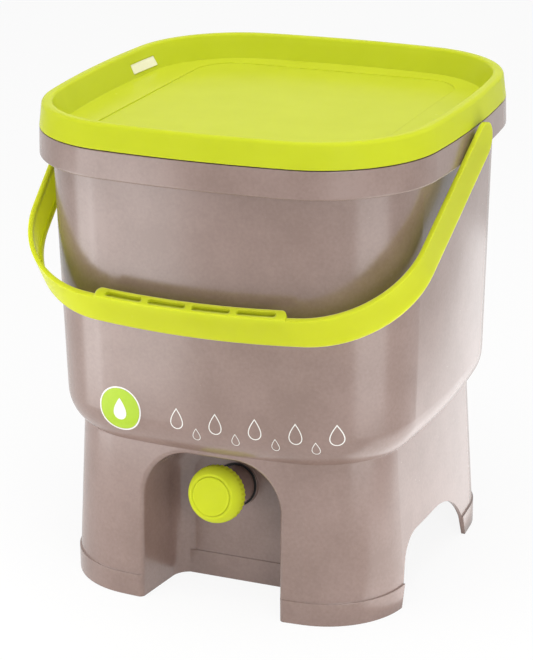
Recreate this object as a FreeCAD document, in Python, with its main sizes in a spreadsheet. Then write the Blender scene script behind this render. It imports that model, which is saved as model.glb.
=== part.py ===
import FreeCAD, Part
import math
import os
import re
import Sketcher
from FreeCAD import Placement, Rotation, Vector

# A kitchen compost bin for fermenting scraps: a square tub with rounded corners on a
# plinth, a press-on lid, a swinging handle and a drain tap in a niche under the belly.
# The front is -Y and up is +Z. The origin is on the floor under the middle of the whole
# bin with its handle down, so the tub itself stands a little back from it.

doc = FreeCAD.newDocument("compost_bin")
sizes = doc.addObject("Spreadsheet::Sheet", "sizes")

DRIVING = [
    ("set_back", 4.5),
    # plan of the lid edge, and how the foot differs from it
    ("rim_half_width", 153.1),
    ("rim_half_depth", 157.3),
    ("rim_corner_radius", 87.4),
    ("rim_bulge", 15.9),
    ("foot_step", 19.8),
    ("foot_corner_radius", 63),
    ("foot_bulge", 9.7),
    # tub heights, walls and insets from the lid edge
    ("wall", 3),
    ("belly_base", 116),
    ("belly_radius", 31),
    ("belly_inset", 14.5),
    ("wall_inset", 9.1),
    ("seat_rise", 9),
    ("plinth_inset", 7.5),
    ("band_height", 17.5),
    ("band_step", 0.1),
    ("collar_base", 324.6),
    ("collar_height", 20.4),
    ("collar_flare", 0.6),
    ("collar_wall", 2.8),
    ("collar_roof", 4),
    ("collar_round", 1.6),
    # tap niche
    ("niche_flank", 78.3),
    ("niche_rise", 3),
    ("niche_corner", 38),
    ("niche_depth", 56.1),
    ("niche_taper", 7.5),
    ("niche_round", 14),
    ("niche_edge", 3),
    ("band_corner", 4),
    ("kick_height", 19),
    ("kick_step", 0.8),
    ("overrun", 1),
    # side arches
    ("arch_plane", 100),
    ("arch_front", 82),
    ("arch_front_top", 68),
    ("arch_height", 50.5),
    ("arch_front_round", 24),
    ("arch_flat_end", 12),
    ("arch_rear_top", 53),
    ("arch_rear_height", 17),
    ("arch_rear", 59.5),
    ("arch_sweep", 80),
    ("floor_rise", 5.5),
    # handle bearing in the collar
    ("pivot_drop", 10.2),
    ("pivot_bore", 5),
    ("pivot_fit", 0.05),
    ("pivot_boss", 9),
    ("pivot_depth", 7),
    ("pivot_end_gap", 0.5),
    # handle
    ("arm_gap", 3.5),
    ("arm_lean", 4.5),
    ("strap_width", 28.4),
    ("strap_narrowing", 0.4),
    ("strap_taper", 72),
    ("strap_thickness", 3.4),
    ("strap_web", 2),
    ("strap_flange", 4),
    ("handle_stand", 0.63),
    ("handle_bow", 745),
    ("handle_corner", 80.6),
    ("hang_angle", 34.2),
    ("grip_end", 5),
    ("grip_depth", 8.4),
    ("grip_rise", 1.8),
    ("grip_plate", 5.5),
    ("grip_round", 4.5),
    ("grip_slots", 4),
    ("grip_slot", 28.5),
    ("grip_slot_width", 4.2),
    ("grip_slot_depth", 3.8),
    ("grip_slot_round", 1.9),
    ("grip_bar", 5),
    # lid
    ("lid_gap", 0.8),
    ("lid_height", 18.2),
    ("lid_lean", 2.3),
    ("lid_round", 3),
    ("lid_wall", 2.5),
    ("rim_width", 9.5),
    ("tray_rise", 1),
    ("tray_inset", 17),
    ("tray_round", 2.5),
    ("panel_side", 48.1),
    ("panel_end", 38.3),
    ("panel_corner", 30),
    ("panel_step", 0.7),
    ("plug_gap", 0.9),
    ("plug_wall", 3.2),
    ("plug_drop", 12),
    ("seal_gap", 0.45),
    ("seal_depth", 1.9),
    ("seal_rise", 3),
    ("seal_height", 3),
    ("finger_slot_front", 42),
    ("finger_slot_back", 78),
    ("finger_slot_rise", 2.5),
    ("finger_slot_height", 7.5),
    # strainer
    ("strainer_gap", 0.4),
    ("strainer_ledge", 2),
    ("strainer_thickness", 3),
    ("strainer_hole", 3.5),
    ("strainer_pitch", 29),
    ("strainer_count", 7),
    # tap seat and fittings, measured along the tap's own axis
    ("tap_stand", 4.8),
    ("tap_rise", 23.3),
    ("tap_tilt", 10.5),
    ("seat_margin", 0.4),
    ("seat_thickness", 9.5),
    ("hole_gap", 0.3),
    ("gasket_radius", 16.3),
    ("gasket_thickness", 1.5),
    ("barrel_radius", 15),
    ("barrel_length", 35),
    ("shank_radius", 10.4),
    ("shank_length", 24),
    ("inlet_radius", 6),
    ("plug_bore", 9),
    ("plug_seat", 12),
    ("plug_fit", 0.05),
    ("plug_clear", 0.4),
    ("plug_length", 24),
    ("port_radius", 4.8),
    ("spout_place", 19),
    ("spout_radius", 8),
    ("spout_drop", 20),
    ("stem_radius", 5),
    ("stem_length", 4.5),
    ("ring_section", 1),
    ("ring_fit", 0.03),
    ("ring_first", 27),
    ("ring_second", 31.5),
    ("washer_radius", 16),
    ("washer_thickness", 2),
    ("nut_radius", 17),
    ("nut_thickness", 8),
    ("knob_seat", 2.1),
    ("knob_length", 13.7),
    ("knob_radius", 21.4),
    ("knob_rim", 3),
    ("knob_dome", 14),
    ("knob_wall", 3),
    ("knob_web", 3),
    ("knob_hub", 8),
    ("knob_grooves", 36),
    ("groove_radius", 2.2),
    ("groove_depth", 0.5),
    ("cap_radius", 14.4),
    ("cap_gap", 0.2),
    ("cap_depth", 2.2),
    ("cap_rise", 0.8),
    ("cap_skin", 1.4),
    ("screw_head", 3.8),
    ("screw_head_height", 1.2),
    ("screw_radius", 2),
    ("screw_length", 10),
    ("screw_gap", 0.05),
]
for row, (alias, value) in enumerate(DRIVING, start=1):
    sizes.set(f"A{row}", alias)
    sizes.set(f"B{row}", str(value))
    sizes.setAlias(f"B{row}", alias)
doc.recompute()

# Sizes that follow from the driving ones, so that what fits or seats moves with its partner.
places = doc.addObject("Spreadsheet::Sheet", "places")
FOLLOWING = [
    # tub
    ("foot_half_width", "sizes.rim_half_width - sizes.foot_step"),
    ("foot_half_depth", "sizes.rim_half_depth - sizes.foot_step"),
    ("seat_height", "sizes.belly_base + sizes.seat_rise"),
    ("sump_floor", "sizes.arch_height + sizes.floor_rise"),
    ("floor_under", "sump_floor - sizes.wall"),
    ("hollow_inset", "sizes.plinth_inset * floor_under / seat_height + sizes.wall"),
    ("collar_top", "sizes.collar_base + sizes.collar_height"),
    ("pivot_height", "collar_top - sizes.pivot_drop"),
    ("mouth_inset", "sizes.wall_inset + sizes.wall"),
    ("belly_inside", "sizes.belly_radius - sizes.wall"),
    ("seat_fall", "sizes.belly_radius - sizes.seat_rise"),
    ("seat_inset", "sizes.belly_inset + sizes.belly_radius - sqrt(belly_inside^2 - seat_fall^2)"),
    ("strainer_inset", "seat_inset + sizes.strainer_gap"),
    ("sump_inset", "strainer_inset + sizes.strainer_ledge"),
    # tap niche and tap
    ("niche_half_width", "foot_half_width - sizes.niche_flank"),
    ("niche_top", "sizes.belly_base + sizes.niche_rise"),
    ("niche_back", "foot_half_depth - sizes.niche_depth"),
    ("tap_reach", "niche_back + sizes.tap_stand"),
    ("tap_height", "sump_floor + sizes.tap_rise"),
    ("seat_radius", "sizes.gasket_radius + sizes.seat_margin"),
    ("seat_back", "sizes.gasket_thickness + sizes.seat_thickness"),
    ("shank_clear", "sizes.shank_radius + sizes.hole_gap"),
    ("washer_back", "seat_back + sizes.washer_thickness"),
    ("half_flat", "sizes.nut_radius * sqrt(3) / 2"),
    ("plug_start", "sizes.plug_seat + sizes.plug_clear"),
    ("plug_end", "plug_start + sizes.plug_length"),
    ("plug_radius", "sizes.plug_bore - sizes.plug_fit"),
    ("stem_end", "plug_end + sizes.stem_length"),
    ("ring_bed", "sizes.plug_bore - sizes.ring_fit - 2 * sizes.ring_section"),
    ("ring_middle", "ring_bed + sizes.ring_section"),
    ("ring_half", "sizes.ring_section + sizes.ring_fit"),
    ("screw_clear", "sizes.screw_radius + sizes.screw_gap"),
    ("stem_clear", "sizes.stem_radius + sizes.screw_gap"),
    ("cap_floor", "stem_end + sizes.knob_seat"),
    ("knob_front", "cap_floor + sizes.cap_depth"),
    ("knob_back", "knob_front - sizes.knob_length"),
    ("knob_bore", "sizes.knob_radius - sizes.knob_wall"),
    ("dome_rise", "sizes.knob_length - sizes.knob_rim"),
    ("face_radius", "sizes.knob_radius - sizes.knob_dome + sqrt(sizes.knob_dome^2 - dome_rise^2)"),
    ("web_under", "cap_floor - sizes.knob_web"),
    ("recess", "sizes.cap_radius + sizes.cap_gap"),
    ("cap_inside", "sizes.cap_radius - sizes.cap_skin"),
    ("cap_top", "knob_front + sizes.cap_rise"),
    # lid
    ("lid_edge", "collar_top + sizes.lid_gap"),
    ("lid_top", "lid_edge + sizes.lid_height"),
    ("tray_floor", "collar_top + sizes.tray_rise"),
    ("tray_under", "tray_floor - sizes.lid_wall"),
    ("panel_half_width", "sizes.rim_half_width - sizes.panel_side"),
    ("panel_half_depth", "sizes.rim_half_depth - sizes.panel_end"),
    ("plug_foot", "collar_top - sizes.plug_drop"),
    ("plug_outside", "mouth_inset + sizes.plug_gap"),
    ("plug_inside", "plug_outside + sizes.plug_wall"),
    ("seal_foot", "plug_foot + sizes.seal_rise"),
    ("seal_outside", "mouth_inset + sizes.seal_gap"),
    ("seal_inside", "seal_outside + sizes.seal_depth"),
    ("slot_foot", "tray_floor + sizes.finger_slot_rise"),
    ("slot_head", "slot_foot + sizes.finger_slot_height"),
    # handle
    ("half_strap", "sizes.strap_width / 2"),
    ("strap_margin", "half_strap + sizes.overrun"),
    ("strap_end", "half_strap - sizes.strap_narrowing"),
    ("arm_top", "strap_end + sizes.overrun"),
    ("arm_outside", "sizes.rim_half_width + sizes.arm_gap + sizes.strap_thickness"),
    ("arm_head", "arm_outside + arm_top * tan(sizes.arm_lean * 1deg)"),
    ("handle_reach", "(sizes.rim_half_depth + sizes.handle_stand) / cos(sizes.hang_angle * 1deg)"),
    ("bow_centre", "sizes.handle_bow - handle_reach"),
    ("slot_pitch", "sizes.grip_slot + sizes.grip_bar"),
    ("slot_inside", "sizes.grip_depth - sizes.strap_web"),
    ("slot_outside", "slot_inside - sizes.grip_slot_width"),
    ("grip_top", "half_strap + sizes.grip_rise"),
    ("grip_half_length", "sizes.grip_slots * slot_pitch / 2 + sizes.grip_end"),
]
for row, (alias, formula) in enumerate(FOLLOWING, start=1):
    places.set(f"A{row}", alias)
    places.set(f"B{row}", f"={formula}")
    places.setAlias(f"B{row}", alias)
doc.recompute()
SHEETS = {"sizes": sizes, "places": places}


def number(expression):
    """The value of an expression on the sheets, for first positions in a sketch."""
    def value(hit):
        return repr(float(getattr(SHEETS[hit[1]], hit[2])))

    return FreeCAD.Units.Quantity(re.sub(r"(sizes|places)\.(\w+)", value, expression)).Value


def new_body(name):
    body = doc.addObject("PartDesign::Body", name)
    body.Label = name
    return body


def node_body(name):
    """The body of a finished piece, set back with the tub."""
    body = new_body(name)
    body.setExpression("Placement.Base.y", "sizes.set_back")
    return body


def origin_plane(body, role):
    return next(part for part in body.Origin.OriginFeatures if part.Role == role)


def sketch_on(body, name, role, height="0"):
    """A sketch on one of the body's own origin planes, moved along its normal."""
    sketch = body.newObject("Sketcher::SketchObject", name)
    sketch.AttachmentSupport = [(origin_plane(body, role), "")]
    sketch.MapMode = "FlatFace"
    sketch.AttachmentOffset = Placement(Vector(0, 0, number(height)), Rotation())
    sketch.setExpression("AttachmentOffset.Base.z", height)
    return sketch


def bind(sketch, constraint, expression):
    index = sketch.addConstraint(constraint)
    sketch.setExpression(f"Constraints[{index}]", expression)


def place_point(sketch, line, end, across, along):
    """Ties one sketch point to the sheet, measured from the sketch's origin."""
    for kind, expression, axis in (("DistanceX", across, -2), ("DistanceY", along, -1)):
        value = number(expression)
        if abs(value) < 1e-9:
            sketch.addConstraint(Sketcher.Constraint("PointOnObject", line, end, axis))
        elif value > 0:
            bind(sketch, Sketcher.Constraint(kind, -1, 1, line, end, value), expression)
        else:
            bind(sketch, Sketcher.Constraint(kind, line, end, -1, 1, -value), f"-({expression})")


def arc_between(start, end, radius, side):
    """An arc from start to end, with its centre to the left (1) or right (-1)."""
    chord = end - start
    half = chord.Length / 2
    normal = Vector(-chord.y, chord.x, 0) / chord.Length
    centre = (start + end) / 2 + normal * side * math.sqrt(radius ** 2 - half ** 2)
    first, last = (start, end) if side > 0 else (end, start)
    begin = math.atan2(first.y - centre.y, first.x - centre.x)
    finish = math.atan2(last.y - centre.y, last.x - centre.x)
    return Part.ArcOfCircle(Part.Circle(centre, Vector(0, 0, 1), radius), begin, finish)


def profile(sketch, corners, arcs=None):
    """A closed profile whose corners are tied to the sheet. arcs: {side: (radius, bend)}."""
    arcs = arcs or {}
    points = [Vector(number(across), number(along), 0) for across, along in corners]
    count = len(points)
    ends = []
    for side in range(count):
        start, end = points[side], points[(side + 1) % count]
        if side in arcs:
            radius, bend = arcs[side]
            line = sketch.addGeometry(arc_between(start, end, number(radius), bend), False)
            ends.append((line, 1, 2) if bend > 0 else (line, 2, 1))
        else:
            ends.append((sketch.addGeometry(Part.LineSegment(start, end), False), 1, 2))
    for side in range(count):
        line, _, finish = ends[side]
        follower, begin, _ = ends[(side + 1) % count]
        sketch.addConstraint(Sketcher.Constraint("Coincident", line, finish, follower, begin))
    for side, (across, along) in enumerate(corners):
        line, begin, _ = ends[side]
        place_point(sketch, line, begin, across, along)
    for side, (radius, _) in arcs.items():
        bind(sketch, Sketcher.Constraint("Radius", ends[side][0], number(radius)), radius)


def circle(sketch, radius, across="0", along="0"):
    centre = Vector(number(across), number(along), 0)
    ring = sketch.addGeometry(Part.Circle(centre, Vector(0, 0, 1), number(radius)), False)
    bind(sketch, Sketcher.Constraint("Radius", ring, number(radius)), radius)
    place_point(sketch, ring, 3, across, along)


# The two plans: half width, half depth, corner radius and the bulge of a side.
RIM = ("sizes.rim_half_width", "sizes.rim_half_depth", "sizes.rim_corner_radius", "sizes.rim_bulge")
FOOT = (
    "places.foot_half_width",
    "places.foot_half_depth",
    "sizes.foot_corner_radius",
    "sizes.foot_bulge",
)


def rounded_square(sketch, plan, inset):
    """Eight tangent arcs: four bulged sides and four corners, inset from the plan."""
    half_width, half_depth, corner, bulge = plan
    side_x = f"(({half_depth})^2 + {bulge}^2) / (2 * {bulge})"
    side_y = f"(({half_width})^2 + {bulge}^2) / (2 * {bulge})"
    across = f"{side_x} - {half_width}"
    along = f"{side_y} - {half_depth}"
    radius_x, radius_y, radius = number(side_x), number(side_y), number(corner)
    back_x, back_y, inner = number(across), number(along), number(inset)
    # the corner's centre lies where circles about the centres of the two sides meet
    base = Vector(-back_x, 0, 0)
    chord = Vector(0, -back_y, 0) - base
    reach, other = radius_x - radius, radius_y - radius
    part = (reach ** 2 - other ** 2 + chord.Length ** 2) / (2 * chord.Length)
    rise = math.sqrt(reach ** 2 - part ** 2)
    unit = chord / chord.Length
    centre = base + unit * part + Vector(-unit.y, unit.x, 0) * rise
    low = math.atan2(centre.y, centre.x + back_x)
    high = math.atan2(centre.y + back_y, centre.x)
    turn = math.pi
    pieces = [
        (-back_x, 0, radius_x, -low, low),
        (centre.x, centre.y, radius, low, high),
        (0, -back_y, radius_y, high, turn - high),
        (-centre.x, centre.y, radius, turn - high, turn - low),
        (back_x, 0, radius_x, turn - low, turn + low),
        (-centre.x, -centre.y, radius, turn + low, turn + high),
        (0, back_y, radius_y, turn + high, 2 * turn - high),
        (centre.x, -centre.y, radius, 2 * turn - high, 2 * turn - low),
    ]
    arcs = []
    for x, y, size, begin, finish in pieces:
        ring = Part.Circle(Vector(x, y, 0), Vector(0, 0, 1), size - inner)
        arcs.append(sketch.addGeometry(Part.ArcOfCircle(ring, begin, finish), False))
    for place, arc in enumerate(arcs):
        sketch.addConstraint(Sketcher.Constraint("Tangent", arc, 2, arcs[(place + 1) % 8], 1))
    right, corner_arc, back, left, front = arcs[0], arcs[1], arcs[2], arcs[4], arcs[6]
    for arc, axis in ((right, -1), (left, -1), (back, -2), (front, -2)):
        sketch.addConstraint(Sketcher.Constraint("PointOnObject", arc, 3, axis))
    bind(sketch, Sketcher.Constraint("DistanceX", right, 3, -1, 1, back_x), across)
    bind(sketch, Sketcher.Constraint("DistanceX", -1, 1, left, 3, back_x), across)
    bind(sketch, Sketcher.Constraint("DistanceY", back, 3, -1, 1, back_y), along)
    bind(sketch, Sketcher.Constraint("DistanceY", -1, 1, front, 3, back_y), along)
    for arc, length in ((right, side_x), (back, side_y), (corner_arc, corner)):
        expression = f"{length} - ({inset})"
        bind(sketch, Sketcher.Constraint("Radius", arc, number(expression)), expression)
    for arc, twin in ((right, left), (back, front)):
        sketch.addConstraint(Sketcher.Constraint("Equal", arc, twin))
    for arc in (arcs[3], arcs[5], arcs[7]):
        sketch.addConstraint(Sketcher.Constraint("Equal", corner_arc, arc))


def plan_sketch(body, name, height, plan, *insets):
    sketch = sketch_on(body, name, "XY_Plane", height)
    for inset in insets:
        rounded_square(sketch, plan, inset)
    doc.recompute()
    return sketch


def loft(body, name, kind, first, last):
    """A ruled loft between two like sketches; kind is Additive or Subtractive."""
    feature = body.newObject(f"PartDesign::{kind}Loft", name)
    feature.Profile = first
    feature.Sections = [last]
    feature.Ruled = True
    first.Visibility = False
    last.Visibility = False
    doc.recompute()
    return feature


def pad(body, name, sketch, length, both_ways=False, back=False):
    feature = body.newObject("PartDesign::Pad", name)
    feature.Profile = sketch
    feature.Midplane = both_ways
    feature.Reversed = back
    feature.setExpression("Length", length)
    doc.recompute()
    return feature


def pocket(body, name, sketch, length=None, both_ways=False, back=False):
    """A cut against the sketch's normal, or along it with back; no length cuts through all."""
    feature = body.newObject("PartDesign::Pocket", name)
    feature.Profile = sketch
    feature.Midplane = both_ways
    feature.Reversed = back
    if length is None:
        feature.Type = "ThroughAll"
    else:
        feature.setExpression("Length", length)
    doc.recompute()
    return feature


def revolve(body, name, sketch):
    feature = body.newObject("PartDesign::Revolution", name)
    feature.Profile = sketch
    feature.ReferenceAxis = (sketch, ["V_Axis"])
    feature.Angle = 360
    doc.recompute()
    return feature


def fillet(body, name, base, radius, chosen):
    """Rounds the edges of base for which chosen(edge) holds."""
    names = [f"Edge{place}" for place, edge in enumerate(base.Shape.Edges, 1) if chosen(edge)]
    feature = body.newObject("PartDesign::Fillet", name)
    feature.Base = (base, names)
    feature.setExpression("Radius", radius)
    doc.recompute()
    return feature


def mirror(body, name, originals, role):
    feature = body.newObject("PartDesign::Mirrored", name)
    feature.Originals = originals
    feature.MirrorPlane = (origin_plane(body, role), [""])
    body.Tip = feature
    doc.recompute()
    return feature


def polar(body, name, original, count):
    feature = body.newObject("PartDesign::PolarPattern", name)
    feature.Originals = [original]
    feature.Axis = (origin_plane(body, "Z_Axis"), [""])
    feature.Angle = 360
    feature.setExpression("Occurrences", count)
    body.Tip = feature
    doc.recompute()
    return feature


def cut_with(body, name, tools):
    feature = body.newObject("PartDesign::Boolean", name)
    feature.Type = "Cut"
    feature.setObjects(tools)
    body.Tip = feature
    doc.recompute()
    return feature


def level(edge, height):
    box = edge.BoundBox
    return abs(box.ZMin - height) < 1e-4 and abs(box.ZMax - height) < 1e-4


def upright(edge):
    box = edge.BoundBox
    return box.XLength < 1e-4 and box.YLength < 1e-4


def on_plan(plan, height, inset):
    """Picks the edges of a plan at a height, drawn in by an inset."""
    half_width, half_depth, corner, bulge = plan
    radii = [f"(({half})^2 + {bulge}^2) / (2 * {bulge})" for half in (half_width, half_depth)]
    wanted = [number(f"{radius} - ({inset})") for radius in radii + [corner]]
    floor = number(height)
    return lambda edge: (
        level(edge, floor)
        and edge.Curve.TypeId == "Part::GeomCircle"
        and any(abs(edge.Curve.Radius - radius) < 1e-3 for radius in wanted)
    )


def niche_core(name, grow):
    """The solid that shapes the tap niche, grown by a wall for the cores behind it."""
    body = new_body(name)
    sections = []
    places = (
        ("mouth", "places.foot_half_depth + sizes.overrun", "0"),
        ("back", f"places.niche_back - {grow}", "sizes.niche_taper"),
    )
    for place, depth, taper in places:
        half = f"(places.niche_half_width - {taper} + {grow})"
        top = f"(places.niche_top - {taper} + {grow})"
        bend = f"(sizes.niche_corner - {taper} + {grow})"
        sketch = sketch_on(body, f"{name}_{place}", "XZ_Plane", depth)
        profile(
            sketch,
            [
                (f"-{half}", "-2 * sizes.overrun"),
                (half, "-2 * sizes.overrun"),
                (half, f"{top} - {bend}"),
                (f"{half} - {bend}", top),
                (f"{bend} - {half}", top),
                (f"-{half}", f"{top} - {bend}"),
            ],
            {2: (bend, 1), 4: (bend, 1)},
        )
        sections.append(sketch)
    doc.recompute()
    loft(body, f"{name}_block", "Additive", *sections)
    block = pad(body, f"{name}_mouth_block", sections[0], "5 * sizes.overrun")
    back = -number(places[1][1])
    fillet(
        body,
        f"{name}_round",
        block,
        f"sizes.niche_round + {grow}",
        lambda edge: abs(edge.BoundBox.YMax - back) < 1e-4
        and edge.BoundBox.YLength < 1e-4
        and edge.BoundBox.ZMax > 0,
    )
    return body


# Moulding cores: the tub's own hollows, each kept one wall away from the niche.
tub_core = new_body("tub_core")
cavity_plan = plan_sketch(
    tub_core, "cavity_plan", "sizes.belly_base + sizes.wall", RIM, "sizes.belly_inset + sizes.wall"
)
mouth_plan = plan_sketch(tub_core, "mouth_plan", "places.collar_top", RIM, "places.mouth_inset")
loft(tub_core, "cavity", "Additive", cavity_plan, mouth_plan)
cavity_head = pad(tub_core, "cavity_head", mouth_plan, "sizes.overrun")
fillet(
    tub_core,
    "belly_inside",
    cavity_head,
    "places.belly_inside",
    on_plan(RIM, "sizes.belly_base + sizes.wall", "sizes.belly_inset + sizes.wall"),
)

sump_core = new_body("sump_core")
sump_plan = plan_sketch(sump_core, "sump_plan", "places.sump_floor", RIM, "places.sump_inset")
pad(sump_core, "sump_block", sump_plan, "places.seat_height - places.sump_floor + 5 * sizes.overrun")
cut_with(sump_core, "sump_beside_niche", [niche_core("sump_niche", "sizes.wall")])

hollow_core = new_body("hollow_core")
hollow_foot = plan_sketch(hollow_core, "hollow_foot", "-sizes.overrun", FOOT, "sizes.wall")
hollow_top = plan_sketch(hollow_core, "hollow_top", "places.floor_under", FOOT, "places.hollow_inset")
loft(hollow_core, "hollow_block", "Additive", hollow_foot, hollow_top)
cut_with(hollow_core, "hollow_beside_niche", [niche_core("hollow_niche", "sizes.wall")])

tap_niche = niche_core("tap_niche", "0")
kick_sketch = sketch_on(tap_niche, "kick_sketch", "XZ_Plane", "places.niche_back")
profile(
    kick_sketch,
    [
        ("-places.niche_half_width", "-3 * sizes.overrun"),
        ("places.niche_half_width", "-3 * sizes.overrun"),
        ("places.niche_half_width", "sizes.kick_height"),
        ("-places.niche_half_width", "sizes.kick_height"),
    ],
)
doc.recompute()
pocket(tap_niche, "kick_band", kick_sketch, "sizes.kick_step", back=True)

# Side arches: a low opening under each flank, with its long sweep to the rear.
side_arch = new_body("side_arch")
arch_sketch = sketch_on(side_arch, "arch_profile", "YZ_Plane", "sizes.arch_plane")
profile(
    arch_sketch,
    [
        ("-sizes.arch_front", "-sizes.overrun"),
        ("sizes.arch_rear", "-sizes.overrun"),
        ("sizes.arch_rear_top", "sizes.arch_rear_height"),
        ("-sizes.arch_flat_end", "sizes.arch_height"),
        ("-sizes.arch_front_top", "sizes.arch_height"),
    ],
    {2: ("sizes.arch_sweep", 1)},
)
doc.recompute()
arch_block = pad(side_arch, "arch_block", arch_sketch, "sizes.rim_half_width - sizes.arch_plane")
fillet(
    side_arch,
    "arch_front_corner",
    arch_block,
    "sizes.arch_front_round",
    lambda edge: edge.BoundBox.YLength < 1e-4
    and abs(edge.BoundBox.ZMin - number("sizes.arch_height")) < 1e-4
    and abs(edge.BoundBox.YMax + number("sizes.arch_front_top")) < 1e-4,
)
mirror(side_arch, "arch_both_sides", [arch_block, side_arch.Tip], "YZ_Plane")

# The tub: a drafted wall with a rounded belly, a collar, a plinth and a foot band.
bin_body = node_body("bin_body")
belly_plan = plan_sketch(bin_body, "belly_plan", "sizes.belly_base", RIM, "sizes.belly_inset")
shoulder_plan = plan_sketch(bin_body, "shoulder_plan", "sizes.collar_base", RIM, "sizes.wall_inset")
tub_wall = loft(bin_body, "tub_wall", "Additive", belly_plan, shoulder_plan)
collar_foot = plan_sketch(bin_body, "collar_foot", "sizes.collar_base", RIM, "-sizes.collar_flare")
collar_head = plan_sketch(bin_body, "collar_head", "places.collar_top", RIM, "0")
collar = loft(bin_body, "collar", "Additive", collar_foot, collar_head)
belly = fillet(
    bin_body,
    "belly",
    collar,
    "sizes.belly_radius",
    on_plan(RIM, "sizes.belly_base", "sizes.belly_inset"),
)
fillet(
    bin_body,
    "collar_edge",
    belly,
    "sizes.collar_round",
    on_plan(RIM, "sizes.collar_base", "-sizes.collar_flare"),
)
cut_with(bin_body, "tub_drawn", [tub_core])
plinth_foot = plan_sketch(bin_body, "plinth_foot", "0", FOOT, "sizes.band_step")
plinth_head = plan_sketch(bin_body, "plinth_head", "places.seat_height", FOOT, "sizes.plinth_inset")
loft(bin_body, "plinth", "Additive", plinth_foot, plinth_head)
band_plan = plan_sketch(bin_body, "band_plan", "0", FOOT, "0")
pad(bin_body, "foot_band", band_plan, "sizes.band_height")
cores_drawn = cut_with(bin_body, "cores_drawn", [sump_core, hollow_core, tap_niche, side_arch])


def niche_mouth(low, high):
    """Picks the edges where the niche breaks through the front, between two heights."""
    behind = -number("places.niche_back + sizes.niche_depth / 2")
    floor, roof = number(low), number(high)

    def chosen(edge):
        box = edge.BoundBox
        middle = Part.Vertex(edge.valueAt((edge.FirstParameter + edge.LastParameter) / 2))
        return (
            box.YMax < behind
            and box.ZMin > floor - 1e-4
            and box.ZMax < roof + 1e-4
            and not level(edge, number("sizes.band_height"))
            and min(face.distToShape(middle)[0] for face in tap_niche.Shape.Faces) < 1e-4
        )

    return chosen


mouth_edge = fillet(
    bin_body,
    "niche_edge",
    cores_drawn,
    "sizes.niche_edge",
    niche_mouth("sizes.band_height", "places.niche_top"),
)
fillet(bin_body, "band_corners", mouth_edge, "sizes.band_corner", niche_mouth("0", "sizes.band_height"))

# Collar: hollow from below, with a bearing for the handle on each side.
groove_plan = plan_sketch(
    bin_body,
    "groove_plan",
    "sizes.collar_base",
    RIM,
    "sizes.collar_wall",
    "sizes.wall_inset",
)
pocket(
    bin_body,
    "collar_groove",
    groove_plan,
    "sizes.collar_height - sizes.collar_roof",
    back=True,
)
BOSS_PLANE = "sizes.rim_half_width - sizes.wall_inset - sizes.overrun"
boss_sketch = sketch_on(bin_body, "boss_sketch", "YZ_Plane", BOSS_PLANE)
circle(boss_sketch, "sizes.pivot_boss", "0", "places.pivot_height")
doc.recompute()
boss = pad(bin_body, "pivot_boss", boss_sketch, "sizes.wall_inset")
bore_sketch = sketch_on(bin_body, "bore_sketch", "YZ_Plane", "sizes.rim_half_width + sizes.overrun")
circle(bore_sketch, "sizes.pivot_bore", "0", "places.pivot_height")
doc.recompute()
bore = pocket(bin_body, "pivot_bore", bore_sketch, "sizes.pivot_depth + sizes.overrun")
mirror(bin_body, "pivot_both_sides", [boss, bore], "YZ_Plane")


def tilt_sketch(body, name, distance):
    """A sketch square to the tap's axis, at a distance out along it."""
    sketch = body.newObject("Sketcher::SketchObject", name)
    sketch.AttachmentSupport = [(origin_plane(body, "XZ_Plane"), "")]
    sketch.MapMode = "FlatFace"
    sketch.AttachmentOffset = Placement(Vector(), Rotation(Vector(1, 0, 0), -1))
    rise = f"places.tap_height + ({distance}) * sin(sizes.tap_tilt * 1deg)"
    reach = f"places.tap_reach + ({distance}) * cos(sizes.tap_tilt * 1deg)"
    sketch.setExpression("AttachmentOffset.Base.y", rise)
    sketch.setExpression("AttachmentOffset.Base.z", reach)
    sketch.setExpression("AttachmentOffset.Rotation.Angle", "-sizes.tap_tilt * 1deg")
    return sketch


seat_sketch = tilt_sketch(bin_body, "seat_sketch", "-places.seat_back")
circle(seat_sketch, "places.seat_radius")
doc.recompute()
pad(bin_body, "tap_seat", seat_sketch, "sizes.seat_thickness")
face_sketch = tilt_sketch(bin_body, "face_sketch", "-sizes.gasket_thickness")
circle(face_sketch, "places.seat_radius")
doc.recompute()
pocket(bin_body, "seat_face", face_sketch, "sizes.gasket_thickness * 2", back=True)
hole_sketch = tilt_sketch(bin_body, "hole_sketch", "0")
circle(hole_sketch, "places.shank_clear")
doc.recompute()
pocket(bin_body, "tap_hole", hole_sketch, "places.seat_back + sizes.overrun")

# Lid: a leaning rim round a sunken tray, hollow from below, with a plug for the mouth.
rim_core = new_body("rim_core")
core_foot = plan_sketch(rim_core, "core_foot", "places.lid_edge - sizes.overrun", RIM, "sizes.lid_wall")
core_head = plan_sketch(
    rim_core,
    "core_head",
    "places.lid_top - sizes.lid_wall",
    RIM,
    "sizes.lid_lean + sizes.lid_wall",
)
loft(rim_core, "core_outside", "Additive", core_foot, core_head)
island_foot = plan_sketch(
    rim_core,
    "island_foot",
    "places.lid_edge - sizes.overrun",
    RIM,
    "sizes.tray_inset - sizes.lid_wall - sizes.overrun",
)
island_head = plan_sketch(
    rim_core,
    "island_head",
    "places.lid_top - sizes.lid_wall",
    RIM,
    "sizes.rim_width - sizes.lid_wall + sizes.overrun",
)
loft(rim_core, "core_inside", "Subtractive", island_foot, island_head)

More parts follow.
